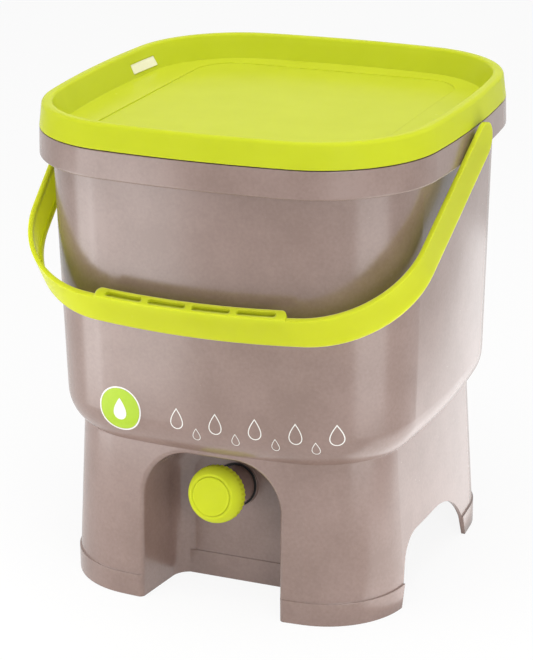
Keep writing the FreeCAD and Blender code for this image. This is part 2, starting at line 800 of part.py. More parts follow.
lid = node_body("lid")
lid_foot = plan_sketch(lid, "lid_foot", "places.lid_edge", RIM, "0")
lid_head = plan_sketch(lid, "lid_head", "places.lid_top", RIM, "sizes.lid_lean")
lid_block = loft(lid, "lid_block", "Additive", lid_foot, lid_head)
tray_head = plan_sketch(lid, "tray_head", "places.lid_top", RIM, "sizes.rim_width")
tray_foot = plan_sketch(lid, "tray_foot", "places.tray_floor", RIM, "sizes.tray_inset")
tray = loft(lid, "tray", "Subtractive", tray_head, tray_foot)
crown = fillet(lid, "lid_crown", tray, "sizes.lid_round", on_plan(RIM, "places.lid_top", "sizes.lid_lean"))
fillet(lid, "tray_lip", crown, "sizes.tray_round", on_plan(RIM, "places.lid_top", "sizes.rim_width"))
floor_plan = plan_sketch(lid, "floor_plan", "places.tray_under", RIM, "places.plug_outside")
pad(lid, "tray_plate", floor_plan, "sizes.lid_wall")
cut_with(lid, "rim_hollow", [rim_core])
plug_plan = plan_sketch(
    lid, "plug_plan", "places.plug_foot", RIM, "places.plug_outside", "places.plug_inside"
)
pad(lid, "plug_wall", plug_plan, "places.tray_under - places.plug_foot + 0.5 * sizes.lid_wall")
shoulder = plan_sketch(
    lid, "seat_ring", "places.collar_top", RIM, "sizes.wall_inset", "places.plug_inside"
)
pad(lid, "lid_shoulder", shoulder, "sizes.tray_rise + sizes.overrun")
seal_groove = plan_sketch(
    lid, "seal_groove", "places.seal_foot", RIM, "places.plug_outside - sizes.overrun", "places.seal_inside"
)
pocket(lid, "seal_channel", seal_groove, "sizes.seal_height", back=True)
tray_again = plan_sketch(lid, "tray_again", "places.tray_floor", RIM, "sizes.tray_inset")
pocket(lid, "tray_clear", tray_again, "sizes.overrun * 2", back=True)
panel = sketch_on(lid, "panel_sketch", "XY_Plane", "places.tray_floor")
profile(
    panel,
    [
        ("-places.panel_half_width", "-places.panel_half_depth"),
        ("places.panel_half_width", "-places.panel_half_depth"),
        ("places.panel_half_width", "places.panel_half_depth"),
        ("-places.panel_half_width", "places.panel_half_depth"),
    ],
)
doc.recompute()
panel_cut = pocket(lid, "panel_recess", panel, "sizes.panel_step")
fillet(
    lid,
    "panel_corners",
    panel_cut,
    "sizes.panel_corner",
    lambda edge: upright(edge)
    and abs(abs(edge.BoundBox.XMax) - number("places.panel_half_width")) < 1e-4,
)
SLOT_PLANE = "sizes.rim_half_width - sizes.tray_inset - 4 * sizes.overrun"
slot_sketch = sketch_on(lid, "finger_slot_sketch", "YZ_Plane", SLOT_PLANE)
profile(
    slot_sketch,
    [
        ("sizes.finger_slot_front", "places.slot_foot"),
        ("sizes.finger_slot_back", "places.slot_foot"),
        ("sizes.finger_slot_back", "places.slot_head"),
        ("sizes.finger_slot_front", "places.slot_head"),
    ],
)
doc.recompute()
SLOT_REACH = "sizes.tray_inset - sizes.lid_wall - sizes.overrun"
finger_slot = pocket(lid, "finger_slot", slot_sketch, SLOT_REACH, back=True)
mirror(lid, "finger_slots", [finger_slot], "YZ_Plane")

lid_seal = node_body("lid_seal")
seal_plan = plan_sketch(
    lid_seal, "seal_plan", "places.seal_foot", RIM, "places.seal_outside", "places.seal_inside"
)
pad(lid_seal, "seal_ring", seal_plan, "sizes.seal_height")

# Strainer: a perforated plate on the ledge above the sump.
strainer = node_body("strainer")
plate_plan = plan_sketch(strainer, "plate_plan", "places.seat_height", RIM, "places.strainer_inset")
pad(strainer, "plate", plate_plan, "sizes.strainer_thickness")
hole_plan = sketch_on(strainer, "hole_plan", "XY_Plane", "places.seat_height + sizes.strainer_thickness")
FIRST_HOLE = "(-sizes.strainer_pitch * (sizes.strainer_count - 1) / 2)"
circle(hole_plan, "sizes.strainer_hole", FIRST_HOLE, FIRST_HOLE)
doc.recompute()
drain_hole = pocket(strainer, "drain_hole", hole_plan, "sizes.strainer_thickness")
grid = strainer.newObject("PartDesign::MultiTransform", "drain_holes")
grid.Originals = [drain_hole]
steps = []
for name, role in (("across", "X_Axis"), ("along", "Y_Axis")):
    step = strainer.newObject("PartDesign::LinearPattern", f"holes_{name}")
    step.Direction = (origin_plane(strainer, role), [""])
    step.setExpression("Length", "sizes.strainer_pitch * (sizes.strainer_count - 1)")
    step.setExpression("Occurrences", "sizes.strainer_count")
    steps.append(step)
grid.Transformations = steps
strainer.Tip = grid
doc.recompute()

# Handle: a channelled strap bent round three sides, drawn flat and then let down.
carrying_handle = node_body("carrying_handle")


def bow_arc(sketch, left, right, inset):
    """An arc of the handle's bowed front, drawn in by an inset, centred on the sketch."""
    radius = f"sizes.handle_bow - ({inset})"
    middle, size = number("places.bow_centre"), number(radius)
    begin = math.atan2(-math.sqrt(size ** 2 - left ** 2), left)
    finish = math.atan2(-math.sqrt(size ** 2 - right ** 2), right)
    ring = Part.Circle(Vector(0, middle, 0), Vector(0, 0, 1), size)
    arc = sketch.addGeometry(Part.ArcOfCircle(ring, begin, finish), False)
    place_point(sketch, arc, 3, "0", "places.bow_centre")
    bind(sketch, Sketcher.Constraint("Radius", arc, size), radius)
    return arc


def strap_plan(name, inset):
    """The handle's outside drawn in by an inset: leaning arms, round bends, bowed front."""
    sketch = sketch_on(carrying_handle, name, "XY_Plane")
    arm = f"(places.arm_head - ({inset}))"
    tip = "places.arm_top"
    bend = f"(sizes.handle_corner - ({inset}))"
    top, radius = Vector(number(arm), number(tip), 0), number(bend)
    lean = math.radians(number("sizes.arm_lean"))
    along = Vector(math.sin(lean), math.cos(lean), 0)
    inward = Vector(-math.cos(lean), math.sin(lean), 0)
    # the bend's centre is one radius inside the arm and touches the bow from within
    bow = Vector(0, number("places.bow_centre"), 0)
    offset = top + inward * radius - bow
    reach = number(f"sizes.handle_bow - ({inset})") - radius
    fall = offset.dot(along) + math.sqrt(offset.dot(along) ** 2 - offset.Length ** 2 + reach ** 2)
    centre = bow + offset - along * fall
    spread = math.atan2(centre.y - bow.y, centre.x - bow.x)
    touch = centre.x + radius * math.cos(spread)
    front = bow_arc(sketch, -touch, touch, inset)
    bends, arms = [], []
    for side in (1, -1):
        middle = Vector(side * centre.x, centre.y, 0)
        ring = Part.Circle(middle, Vector(0, 0, 1), radius)
        turn = (spread, -lean) if side > 0 else (math.pi + lean, math.pi - spread)
        bends.append(sketch.addGeometry(Part.ArcOfCircle(ring, *turn), False))
        foot = centre - inward * radius
        start, end = Vector(side * foot.x, foot.y, 0), Vector(side * top.x, top.y, 0)
        arms.append(sketch.addGeometry(Part.LineSegment(start, end), False))
    head = sketch.addGeometry(Part.LineSegment(top, Vector(-top.x, top.y, 0)), False)
    for line, end, follower, begin in (
        (arms[1], 1, bends[1], 1),
        (bends[1], 2, front, 1),
        (front, 2, bends[0], 1),
        (bends[0], 2, arms[0], 1),
    ):
        sketch.addConstraint(Sketcher.Constraint("Tangent", line, end, follower, begin))
    for place, side in enumerate(("", "-")):
        line = arms[place]
        sketch.addConstraint(Sketcher.Constraint("Coincident", line, 2, head, place + 1))
        place_point(sketch, head, place + 1, f"{side}{arm}", tip)
        bind(sketch, Sketcher.Constraint("Radius", bends[place], radius), bend)
    quarter = math.pi / 2
    bind(sketch, Sketcher.Constraint("Angle", arms[0], quarter - lean), "(90 - sizes.arm_lean) * 1deg")
    bind(sketch, Sketcher.Constraint("Angle", arms[1], quarter + lean), "(90 + sizes.arm_lean) * 1deg")
    doc.recompute()
    return sketch


def bow_strip(sketch, left, right, outer, inner):
    """A strip that follows the bowed front, from left to right between two insets."""
    arcs = [bow_arc(sketch, number(left), number(right), inset) for inset in (outer, inner)]
    for end, across in ((1, left), (2, right)):
        points = [sketch.getPoint(arc, end) for arc in arcs]
        line = sketch.addGeometry(Part.LineSegment(*points), False)
        for place, arc in enumerate(arcs, 1):
            sketch.addConstraint(Sketcher.Constraint("Coincident", arc, end, line, place))
        sketch.addConstraint(Sketcher.Constraint("Vertical", line))
        value = number(across)
        if value > 0:
            bind(sketch, Sketcher.Constraint("DistanceX", -1, 1, line, 1, value), across)
        else:
            bind(sketch, Sketcher.Constraint("DistanceX", line, 1, -1, 1, -value), f"-({across})")


strap_outside = strap_plan("strap_outside", "0")
pad(carrying_handle, "handle_slab", strap_outside, "sizes.strap_width", True)
strap_inside = strap_plan("strap_inside", "sizes.strap_thickness")
pocket(carrying_handle, "strap_hollow", strap_inside, None, True)
channel_plan = strap_plan("channel_plan", "sizes.strap_web")
CHANNEL = "sizes.strap_width - 2 * sizes.strap_flange"
pocket(carrying_handle, "strap_channel", channel_plan, CHANNEL, True)
taper = sketch_on(carrying_handle, "taper_profile", "YZ_Plane")
profile(
    taper,
    [
        ("-sizes.strap_taper", "places.half_strap"),
        ("0", "places.strap_end"),
        ("places.strap_end", "0"),
        ("0", "-places.strap_end"),
        ("-sizes.strap_taper", "-places.half_strap"),
        ("-sizes.strap_taper", "-places.strap_margin"),
        ("places.strap_margin", "-places.strap_margin"),
        ("places.strap_margin", "places.strap_margin"),
        ("-sizes.strap_taper", "places.strap_margin"),
    ],
    {1: ("places.strap_end", -1), 2: ("places.strap_end", -1)},
)
doc.recompute()
pocket(carrying_handle, "arm_taper", taper, None, True)
grip = sketch_on(carrying_handle, "grip_plan", "XY_Plane", "places.grip_top - sizes.grip_plate")
GRIP_END = "places.grip_half_length"
bow_strip(grip, f"-{GRIP_END}", GRIP_END, "0", "sizes.grip_depth")
doc.recompute()
grip_pad = pad(carrying_handle, "grip", grip, "sizes.grip_plate")
fillet(
    carrying_handle,
    "grip_ends",
    grip_pad,
    "sizes.grip_round",
    lambda edge: upright(edge)
    and abs(edge.Length - number("sizes.grip_plate")) < 1e-4
    and abs(abs(edge.BoundBox.XMax) - number("places.grip_half_length")) < 1e-4,
)
slots = sketch_on(carrying_handle, "grip_slots", "XY_Plane", "places.grip_top")
for place in range(int(sizes.grip_slots)):
    middle = f"({place} + 0.5 - sizes.grip_slots / 2) * places.slot_pitch"
    near = f"({middle} - sizes.grip_slot / 2)"
    far = f"({middle} + sizes.grip_slot / 2)"
    bow_strip(slots, near, far, "places.slot_outside", "places.slot_inside")
doc.recompute()
slot_cut = pocket(carrying_handle, "slots", slots, "sizes.grip_slot_depth")
fillet(
    carrying_handle,
    "slot_ends",
    slot_cut,
    "sizes.grip_slot_round",
    lambda edge: upright(edge) and abs(edge.Length - number("sizes.grip_slot_depth")) < 1e-4,
)
STUD_END = "sizes.rim_half_width - sizes.pivot_depth + sizes.pivot_end_gap"
stud = sketch_on(carrying_handle, "stud_sketch", "YZ_Plane", STUD_END)
circle(stud, "sizes.pivot_bore - sizes.pivot_fit")
doc.recompute()
stud_pad = pad(carrying_handle, "stud", stud, "sizes.pivot_depth + sizes.arm_gap + sizes.strap_web")
mirror(carrying_handle, "studs", [stud_pad], "YZ_Plane")
carrying_handle.Placement = Placement(Vector(), Rotation(Vector(1, 0, 0), 1))
carrying_handle.setExpression("Placement.Base.z", "places.pivot_height")
carrying_handle.setExpression("Placement.Rotation.Angle", "sizes.hang_angle * 1deg")
doc.recompute()


# Tap: every piece is drawn on its own Z axis, then tilted up out of the niche wall.
def tap_piece(name):
    body = new_body(name)
    body.Placement = Placement(Vector(), Rotation(Vector(1, 0, 0), 1))
    body.setExpression("Placement.Base.y", "sizes.set_back - places.tap_reach")
    body.setExpression("Placement.Base.z", "places.tap_height")
    body.setExpression("Placement.Rotation.Angle", "(90 - sizes.tap_tilt) * 1deg")
    return body


def turned(body, name, corners, arcs=None):
    sketch = sketch_on(body, f"{name}_profile", "XZ_Plane")
    profile(sketch, corners, arcs)
    doc.recompute()
    return revolve(body, name, sketch)


def washer(name, inner, outer, foot, height):
    body = tap_piece(name)
    sketch = sketch_on(body, f"{name}_plan", "XY_Plane", foot)
    circle(sketch, outer)
    circle(sketch, inner)
    doc.recompute()
    pad(body, f"{name}_ring", sketch, height)
    return body


tap_gasket = washer(
    "tap_gasket",
    "places.shank_clear",
    "sizes.gasket_radius",
    "-sizes.gasket_thickness",
    "sizes.gasket_thickness",
)
tap_inner_washer = washer(
    "tap_inner_washer",
    "places.shank_clear",
    "sizes.washer_radius",
    "-places.washer_back",
    "sizes.washer_thickness",
)

tap_lock_nut = tap_piece("tap_lock_nut")
nut_plan = sketch_on(tap_lock_nut, "nut_plan", "XY_Plane", "-places.washer_back - sizes.nut_thickness")
profile(
    nut_plan,
    [
        ("sizes.nut_radius", "0"),
        ("sizes.nut_radius / 2", "places.half_flat"),
        ("-sizes.nut_radius / 2", "places.half_flat"),
        ("-sizes.nut_radius", "0"),
        ("-sizes.nut_radius / 2", "-places.half_flat"),
        ("sizes.nut_radius / 2", "-places.half_flat"),
    ],
)
circle(nut_plan, "sizes.shank_radius + sizes.screw_gap")
doc.recompute()
pad(tap_lock_nut, "nut", nut_plan, "sizes.nut_thickness")

tap_body = tap_piece("tap_body")
barrel = turned(
    tap_body,
    "barrel",
    [
        ("0", "-sizes.shank_length"),
        ("sizes.shank_radius", "-sizes.shank_length"),
        ("sizes.shank_radius", "0"),
        ("sizes.barrel_radius", "0"),
        ("sizes.barrel_radius", "sizes.barrel_length"),
        ("0", "sizes.barrel_length"),
    ],
)
spout_sketch = sketch_on(tap_body, "spout_sketch", "XZ_Plane")
circle(spout_sketch, "sizes.spout_radius", "0", "sizes.spout_place")
doc.recompute()
pad(tap_body, "spout", spout_sketch, "sizes.spout_drop")
waterway = sketch_on(tap_body, "waterway_profile", "XZ_Plane")
profile(
    waterway,
    [
        ("0", "-sizes.shank_length"),
        ("sizes.inlet_radius", "-sizes.shank_length"),
        ("sizes.inlet_radius", "sizes.plug_seat"),
        ("sizes.plug_bore", "sizes.plug_seat"),
        ("sizes.plug_bore", "sizes.barrel_length"),
        ("0", "sizes.barrel_length"),
    ],
)
doc.recompute()
bore_cut = tap_body.newObject("PartDesign::Groove", "waterway")
bore_cut.Profile = waterway
bore_cut.ReferenceAxis = (waterway, ["V_Axis"])
bore_cut.Angle = 360
doc.recompute()
outlet_sketch = sketch_on(tap_body, "outlet_sketch", "XZ_Plane")
circle(outlet_sketch, "sizes.port_radius", "0", "sizes.spout_place")
doc.recompute()
pocket(tap_body, "outlet", outlet_sketch, "sizes.spout_drop + sizes.overrun", back=True)

tap_plug = tap_piece("tap_plug")
plug_side = [("0", "places.plug_start"), ("places.plug_radius", "places.plug_start")]
for ring in ("sizes.ring_first", "sizes.ring_second"):
    plug_side += [
        ("places.plug_radius", f"{ring} - places.ring_half"),
        ("places.ring_bed", f"{ring} - places.ring_half"),
        ("places.ring_bed", f"{ring} + places.ring_half"),
        ("places.plug_radius", f"{ring} + places.ring_half"),
    ]
plug_side += [
    ("places.plug_radius", "places.plug_end"),
    ("sizes.stem_radius", "places.plug_end"),
    ("sizes.stem_radius", "places.stem_end"),
    ("places.screw_clear", "places.stem_end"),
    ("places.screw_clear", "places.stem_end - sizes.screw_length"),
    ("0", "places.stem_end - sizes.screw_length"),
]
turned(tap_plug, "plug", plug_side)
well_sketch = sketch_on(tap_plug, "well_sketch", "XY_Plane", "places.plug_start")
circle(well_sketch, "sizes.port_radius")
doc.recompute()
pocket(tap_plug, "well", well_sketch, "sizes.spout_place - places.plug_start", back=True)
port_sketch = sketch_on(tap_plug, "port_sketch", "YZ_Plane")
circle(port_sketch, "sizes.port_radius", "0", "sizes.spout_place")
doc.recompute()
pocket(tap_plug, "port", port_sketch, "sizes.plug_bore + sizes.overrun")

tap_plug_o_rings = tap_piece("tap_plug_o_rings")
for name, place in (("inner_ring", "sizes.ring_first"), ("outer_ring", "sizes.ring_second")):
    ring_sketch = sketch_on(tap_plug_o_rings, f"{name}_section", "XZ_Plane")
    circle(ring_sketch, "sizes.ring_section", "places.ring_middle", place)
    doc.recompute()
    turn = tap_plug_o_rings.newObject("PartDesign::Revolution", name)
    turn.Profile = ring_sketch
    turn.ReferenceAxis = (ring_sketch, ["V_Axis"])
    turn.Angle = 360
    turn.AllowMultiFace = True
    doc.recompute()

tap_knob = tap_piece("tap_knob")
turned(
    tap_knob,
    "knob",
    [
        ("places.knob_bore", "places.knob_back"),
        ("sizes.knob_radius", "places.knob_back"),
        ("sizes.knob_radius", "places.knob_back + sizes.knob_rim"),
        ("places.face_radius", "places.knob_front"),
        ("places.recess", "places.knob_front"),
        ("places.recess", "places.cap_floor"),
        ("places.screw_clear", "places.cap_floor"),
        ("places.screw_clear", "places.stem_end + sizes.cap_gap"),
        ("places.stem_clear", "places.stem_end + sizes.cap_gap"),
        ("places.stem_clear", "places.plug_end + sizes.cap_gap"),
        ("sizes.knob_hub", "places.plug_end + sizes.cap_gap"),
        ("sizes.knob_hub", "places.web_under"),
        ("places.knob_bore", "places.web_under"),
    ],
    {2: ("sizes.knob_dome", 1)},
)
groove_sketch = sketch_on(tap_knob, "groove_sketch", "XY_Plane", "places.knob_back")
circle(
    groove_sketch,
    "sizes.groove_radius",
    "sizes.knob_radius + sizes.groove_radius - sizes.groove_depth",
)
doc.recompute()
knob_groove = pocket(
    tap_knob, "knob_groove", groove_sketch, "sizes.knob_length", back=True
)
polar(tap_knob, "knob_grooves", knob_groove, "sizes.knob_grooves")

tap_knob_cap = tap_piece("tap_knob_cap")
turned(
    tap_knob_cap,
    "cap",
    [
        ("places.cap_inside", "places.cap_floor"),
        ("sizes.cap_radius", "places.cap_floor"),
        ("sizes.cap_radius", "places.knob_front"),
        ("sizes.cap_radius - sizes.cap_rise", "places.cap_top"),
        ("0", "places.cap_top"),
        ("0", "places.cap_top - sizes.cap_skin"),
        ("places.cap_inside", "places.cap_top - sizes.cap_skin"),
    ],
    {2: ("sizes.cap_rise", 1)},
)

knob_screw = tap_piece("knob_screw")
turned(
    knob_screw,
    "screw",
    [
        ("0", "places.cap_floor + sizes.screw_head_height"),
        ("0", "places.stem_end - sizes.screw_length + sizes.cap_gap"),
        ("sizes.screw_radius", "places.stem_end - sizes.screw_length + sizes.cap_gap"),
        ("sizes.screw_radius", "places.cap_floor"),
        ("sizes.screw_head", "places.cap_floor"),
        ("sizes.screw_head", "places.cap_floor + sizes.screw_head_height"),
    ],
)
doc.recompute()

NODES = [
    bin_body,
    lid,
    lid_seal,
    strainer,
    carrying_handle,
    tap_gasket,
    tap_body,
    tap_inner_washer,
    tap_lock_nut,
    tap_plug,
    tap_plug_o_rings,
    tap_knob,
    tap_knob_cap,
    knob_screw,
]
for part in doc.Objects:
    if {"Invalid", "Error"} & set(part.State):
        raise RuntimeError(f"{part.Name} did not build: {part.State}")
os.makedirs("parts", exist_ok=True)
for node in NODES:
    if node.Shape.isNull() or not node.Shape.isValid():
        raise RuntimeError(f"{node.Label} has no sound solid")
    node.Shape.exportStep(f"parts/{node.Label}.step")
    print(node.Label, len(node.Shape.Solids), round(node.Shape.Volume / 1000, 2), "cm3")
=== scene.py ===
# %% [markdown]
# # Kitchen compost bin
# The bin is a square tub with soft corners, a lime lid and handle, and a drain tap
# that sits in a niche under the belly. The solids come from the CAD model, so the
# lesson starts by loading them as a fixed frame.

# %% Load the frame
import math

import bpy
from mathutils import Matrix, Vector


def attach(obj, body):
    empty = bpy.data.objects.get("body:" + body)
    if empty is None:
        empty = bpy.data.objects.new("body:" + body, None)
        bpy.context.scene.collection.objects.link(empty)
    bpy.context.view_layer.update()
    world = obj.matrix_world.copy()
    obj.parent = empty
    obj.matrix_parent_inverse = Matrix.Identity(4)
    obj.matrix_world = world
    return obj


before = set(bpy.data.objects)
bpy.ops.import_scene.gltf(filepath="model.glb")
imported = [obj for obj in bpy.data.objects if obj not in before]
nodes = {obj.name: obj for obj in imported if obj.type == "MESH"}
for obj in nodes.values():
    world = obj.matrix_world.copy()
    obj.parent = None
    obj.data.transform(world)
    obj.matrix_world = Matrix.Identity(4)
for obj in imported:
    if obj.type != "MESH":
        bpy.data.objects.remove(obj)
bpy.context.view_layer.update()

MM = 0.001

# %% [markdown]
# ## Camera
# The view is a product photograph: a long lens a little above the lid, turned so
# that the front and the right side both show. A camera can be aimed by eye, but here
# its place and tilt were found by fitting the bin's outline, so they are plain numbers.

# %% Camera
AZIMUTH, ELEVATION, ROLL = (math.radians(angle) for angle in (22.865, 19.565, -0.558))
FOCAL_PIXELS = 2428.411
FRAME_HEIGHT = 660
SENSOR_HEIGHT = 36
FAR_END = 50
CAMERA_PLACE = Vector((664.392, -1595.346, 787.78)) * MM

back = Vector((
    math.sin(AZIMUTH) * math.cos(ELEVATION),
    -math.cos(AZIMUTH) * math.cos(ELEVATION),
    math.sin(ELEVATION),
))
level = Vector((math.cos(AZIMUTH), math.sin(AZIMUTH), 0))
above = back.cross(level)
right = level * math.cos(ROLL) + above * math.sin(ROLL)
up = above * math.cos(ROLL) - level * math.sin(ROLL)

lens = bpy.data.cameras.new("camera")
lens.sensor_fit = "VERTICAL"
lens.sensor_height = SENSOR_HEIGHT
lens.lens = FOCAL_PIXELS / FRAME_HEIGHT * lens.sensor_height
lens.clip_end = FAR_END
camera = bpy.data.objects.new("camera", lens)
bpy.context.scene.collection.objects.link(camera)
turn = Matrix((right, up, back)).transposed().to_4x4()
camera.matrix_world = Matrix.Translation(CAMERA_PLACE) @ turn
bpy.context.scene.camera = camera
print("camera: lens", round(lens.lens, 1), "mm")

# %% [markdown]
# ## Materials
# Every finish is a small node tree. One function turns a hex colour into the linear
# numbers that the shader works with, one adds a node with its settings and links, and
# one turns a real size into the scale of a pattern.

# %% Colour and node helpers
def colour(code):
    """Linear RGBA from an sRGB hex colour."""
    shares = [int(code[place:place + 2], 16) / 255 for place in (1, 3, 5)]
    linear = [s / 12.92 if s <= 0.04045 else ((s + 0.055) / 1.055) ** 2.4 for s in shares]
    return (*linear, 1)


def add(tree, kind, sockets=None, **settings):
    """A new node: settings are its own, sockets are values or links by name."""
    node = tree.nodes.new(kind)
    for name, value in settings.items():
        setattr(node, name, value)
    for name, value in (sockets or {}).items():
        if isinstance(value, bpy.types.NodeSocket):
            tree.links.new(value, node.inputs[name])
        else:
            node.inputs[name].default_value = value
    return node


def per_mm(size):
    """The texture scale at which one cell of a pattern is this many millimetres."""
    return 1 / (size * MM)


print("mid grey in linear light:", round(colour("#808080")[0], 3))

# %% [markdown]
# ### Moulded polypropylene
# The tub, lid, handle and knob are injection moulded. The melt leaves broad faint clouds
# and fine flecks in the colour, the steel mould leaves a skin that softens the gloss, and
# no moulded edge is truly sharp. A picture could give all this, but noise at real sizes
# needs no file and no seams. The skin is drawn coarser than life so that it shows. A Bevel
# node rounds the edges in the shading, which needs no extra faces.

# %% A moulded skin
CLOUD_SIZE, FLECK_SIZE = 38, 2.4
DARKEST, LIGHTEST = 0.3, 0.7
GLOSS_SWING = 0.06
SKIN_DEPTH = 0.1
PLASTIC_IOR = 1.49


def skinned(name, dark, light, fleck, roughness, shine, skin, bump, edge, metal=False):
    """A finish with clouds, flecks, a skin and soft edges. Skin and edge are in millimetres."""
    material = bpy.data.materials.new(name)
    material.use_nodes = True
    tree = material.node_tree
    shader = tree.nodes["Principled BSDF"]
    place = add(tree, "ShaderNodeTexCoord").outputs["Object"]
    clouds = add(tree, "ShaderNodeTexNoise",
                 {"Vector": place, "Scale": per_mm(CLOUD_SIZE), "Detail": 3.0})
    flecks = add(tree, "ShaderNodeTexNoise",
                 {"Vector": place, "Scale": per_mm(FLECK_SIZE), "Detail": 2.0})
    mottle = add(tree, "ShaderNodeMath",
                 {0: flecks.outputs["Fac"], 1: fleck, 2: clouds.outputs["Fac"]},
                 operation="MULTIPLY_ADD")
    tint = add(tree, "ShaderNodeValToRGB", {"Fac": mottle.outputs["Value"]})
    low, high = tint.color_ramp.elements
    low.position, high.position = DARKEST + fleck / 2, LIGHTEST + fleck / 2
    low.color, high.color = colour(dark), colour(light)
    grain = add(tree, "ShaderNodeTexNoise",
                {"Vector": place, "Scale": per_mm(skin), "Detail": 2.0})
    gloss = add(tree, "ShaderNodeMapRange",
                {"Value": grain.outputs["Fac"],
                 "To Min": roughness - GLOSS_SWING, "To Max": roughness + GLOSS_SWING})
    soft_edge = add(tree, "ShaderNodeBevel", {"Radius": edge * MM}, samples=6)
    relief = add(tree, "ShaderNodeBump",
                 {"Height": grain.outputs["Fac"], "Normal": soft_edge.outputs["Normal"],
                  "Strength": bump, "Distance": SKIN_DEPTH * MM})
    tree.links.new(tint.outputs["Color"], shader.inputs["Base Color"])
    tree.links.new(gloss.outputs["Result"], shader.inputs["Roughness"])
    tree.links.new(relief.outputs["Normal"], shader.inputs["Normal"])
    if metal:
        shader.inputs["Metallic"].default_value = 1.0
    else:
        shader.inputs["IOR"].default_value = PLASTIC_IOR
    shader.inputs["Specular IOR Level"].default_value = shine
    print("material:", name)
    return material


# %% [markdown]
# ### The bin's finishes
# The same skin serves every finish, with its own colours, gloss and grain. Six hand-built
# node trees would drift apart, so one function makes them and only the numbers differ.
# The metal keeps the shader's own IOR, because a metal's colour already sets how it shines.

# %% Finishes
# Taupe plastic from a polished mould: warm grey brown, faintly cloudy, with soft bright bands.
TAUPE = skinned("taupe_polypropylene", "#806960", "#8b746c", fleck=0.5,
                roughness=0.24, shine=0.9, skin=1.6, bump=0.08, edge=1.0)
# Lime plastic, dyed through: an even yellow green that hardly mirrors, so its colour stays pure.
LIME = skinned("lime_polypropylene", "#c0c92e", "#c4cd32", fleck=0.0,
               roughness=0.24, shine=0.02, skin=5.0, bump=0.02, edge=1.0)
# The same plastic as a thin strap, painted a shade darker than the lid to offset the extra light
# that comes through it.
STRAP_LIME_SHADED = skinned("strap_lime_painted_shade", "#bac42a", "#bec82e", fleck=0.0,
                    roughness=0.24, shine=0.02, skin=5.0, bump=0.02, edge=1.0)
# Moulded rubber: near black and dull, so that seals and washers read as dark lines.
RUBBER = skinned("black_rubber", "#161616", "#1d1d1c", fleck=0.5,
                 roughness=0.6, shine=0.4, skin=0.9, bump=0.4, edge=0.3)
# Turned acetal: milky white with a waxy gloss.
ACETAL = skinned("white_acetal", "#d8d5cb", "#dfddd4", fleck=0.5,
                 roughness=0.4, shine=0.5, skin=1.2, bump=0.2, edge=0.3)
# Zinc-plated steel: a pale grey metal with a slightly broken shine.
STEEL = skinned("zinc_plated_steel", "#a8a8a6", "#b4b4b2", fleck=0.5,
                roughness=0.3, shine=0.5, skin=0.8, bump=0.2, edge=0.2, metal=True)

# %% [markdown]
# ### Light inside the lime
# Bright plastic lets light in and gives it back beside the place where it entered, so its
# shaded faces stay bright. A lighter colour would only wash it out. Subsurface does it as
# the plastic does, and blue dies out soonest, which keeps the glow yellow green. The strap
# is a thin wall with light on both sides, so its depth is set well past its thickness.

# %% Light inside the lime
INNER_SHARE = 0.8
INNER_REACH = (1.0, 1.0, 0.5)
LID_DEPTH, STRAP_DEPTH = 3, 16

for lime, depth in ((LIME, LID_DEPTH), (STRAP_LIME_SHADED, STRAP_DEPTH)):
    shader = lime.node_tree.nodes["Principled BSDF"].inputs
    shader["Subsurface Weight"].default_value = INNER_SHARE
    shader["Subsurface Radius"].default_value = INNER_REACH
    shader["Subsurface Scale"].default_value = depth * MM
    print(lime.name, "depth", depth, "mm")

# %% [markdown]
# ### Dress the pieces
# Each CAD piece comes with a plain colour. Its shape stays as it is, and the finish that
# the real piece has takes the colour's place.

# %% Dress the pieces
FINISHES = {
    "bin_body": TAUPE,
    "lid": LIME,
    "lid_seal": RUBBER,
    "strainer": TAUPE,
    "carrying_handle": STRAP_LIME_SHADED,
    "tap_gasket": RUBBER,
    "tap_body": TAUPE,
    "tap_inner_washer": RUBBER,
    "tap_lock_nut": TAUPE,
    "tap_plug": ACETAL,
    "tap_plug_o_rings": RUBBER,
    "tap_knob": LIME,
    "tap_knob_cap": LIME,
    "knob_screw": STEEL,
}
for name, material in FINISHES.items():
    nodes[name].data.materials.clear()
    nodes[name].data.materials.append(material)
print("finished nodes:", len(FINISHES))

# %% [markdown]
# ## Light in the finger slots
# A finger slot pierces the inner wall of the lid's rim on each side. A pale sheet in it is
# painted light that stands in for the light showing through the slot. It could be a box turned to
# suit the wall, but the wall both leans and bows, so it starts as a plane whose four corners are
# moved one by one to the wall beside the slot. Solidify then gives it thickness and Bevel rounds
# its edges.

# %% Picking points
def pick(piece, chosen):
    """Select, in edit mode, the points whose place passes the test."""
    bpy.ops.object.mode_set(mode="EDIT")
    bpy.ops.mesh.select_mode(type="VERT")
    bpy.ops.mesh.select_all(action="DESELECT")
    bpy.ops.object.mode_set(mode="OBJECT")
    for point in piece.data.vertices:
        point.select = chosen(point.co)
    bpy.ops.object.mode_set(mode="EDIT")


def finish_with(piece, kind, **settings):
    """Add a modifier, set it and apply it."""
    modifier = piece.modifiers.new(kind.lower(), kind)
    for name, value in settings.items():
        setattr(modifier, name, value)
    bpy.ops.object.modifier_apply(modifier=modifier.name)


# %% Slot sheets of painted light
SLOT_FRONT, SLOT_BACK = 46.5, 82.5
SLOT_FOOT, SLOT_HEAD = 348.5, 356.0
BESIDE_SLOT = 1
INSERT_GAP = 0.25
INSERT_DEPTH = 0.6
INSERT_THICKNESS = 1.2
INSERT_EDGE = 0.4
SAME_PLACE = 1e-6
# Painted light: a creamy white with a low gloss, standing in for the light that shows through the
# slot.
PAINTED_SLOT_LIGHT = skinned("painted_slot_light", "#eeeacb", "#f4f0d8", fleck=0.5,
               roughness=0.35, shine=0.3, skin=1.2, bump=0.05, edge=0.3)


def wall_beside_slot(side, y, z):
    """How far from the middle the lid's inner wall stands, in millimetres."""
    start = Vector((0, y, z)) * MM
    _, place, _, _ = nodes["lid"].ray_cast(start, Vector((side, 0, 0)))
    return place.x / MM


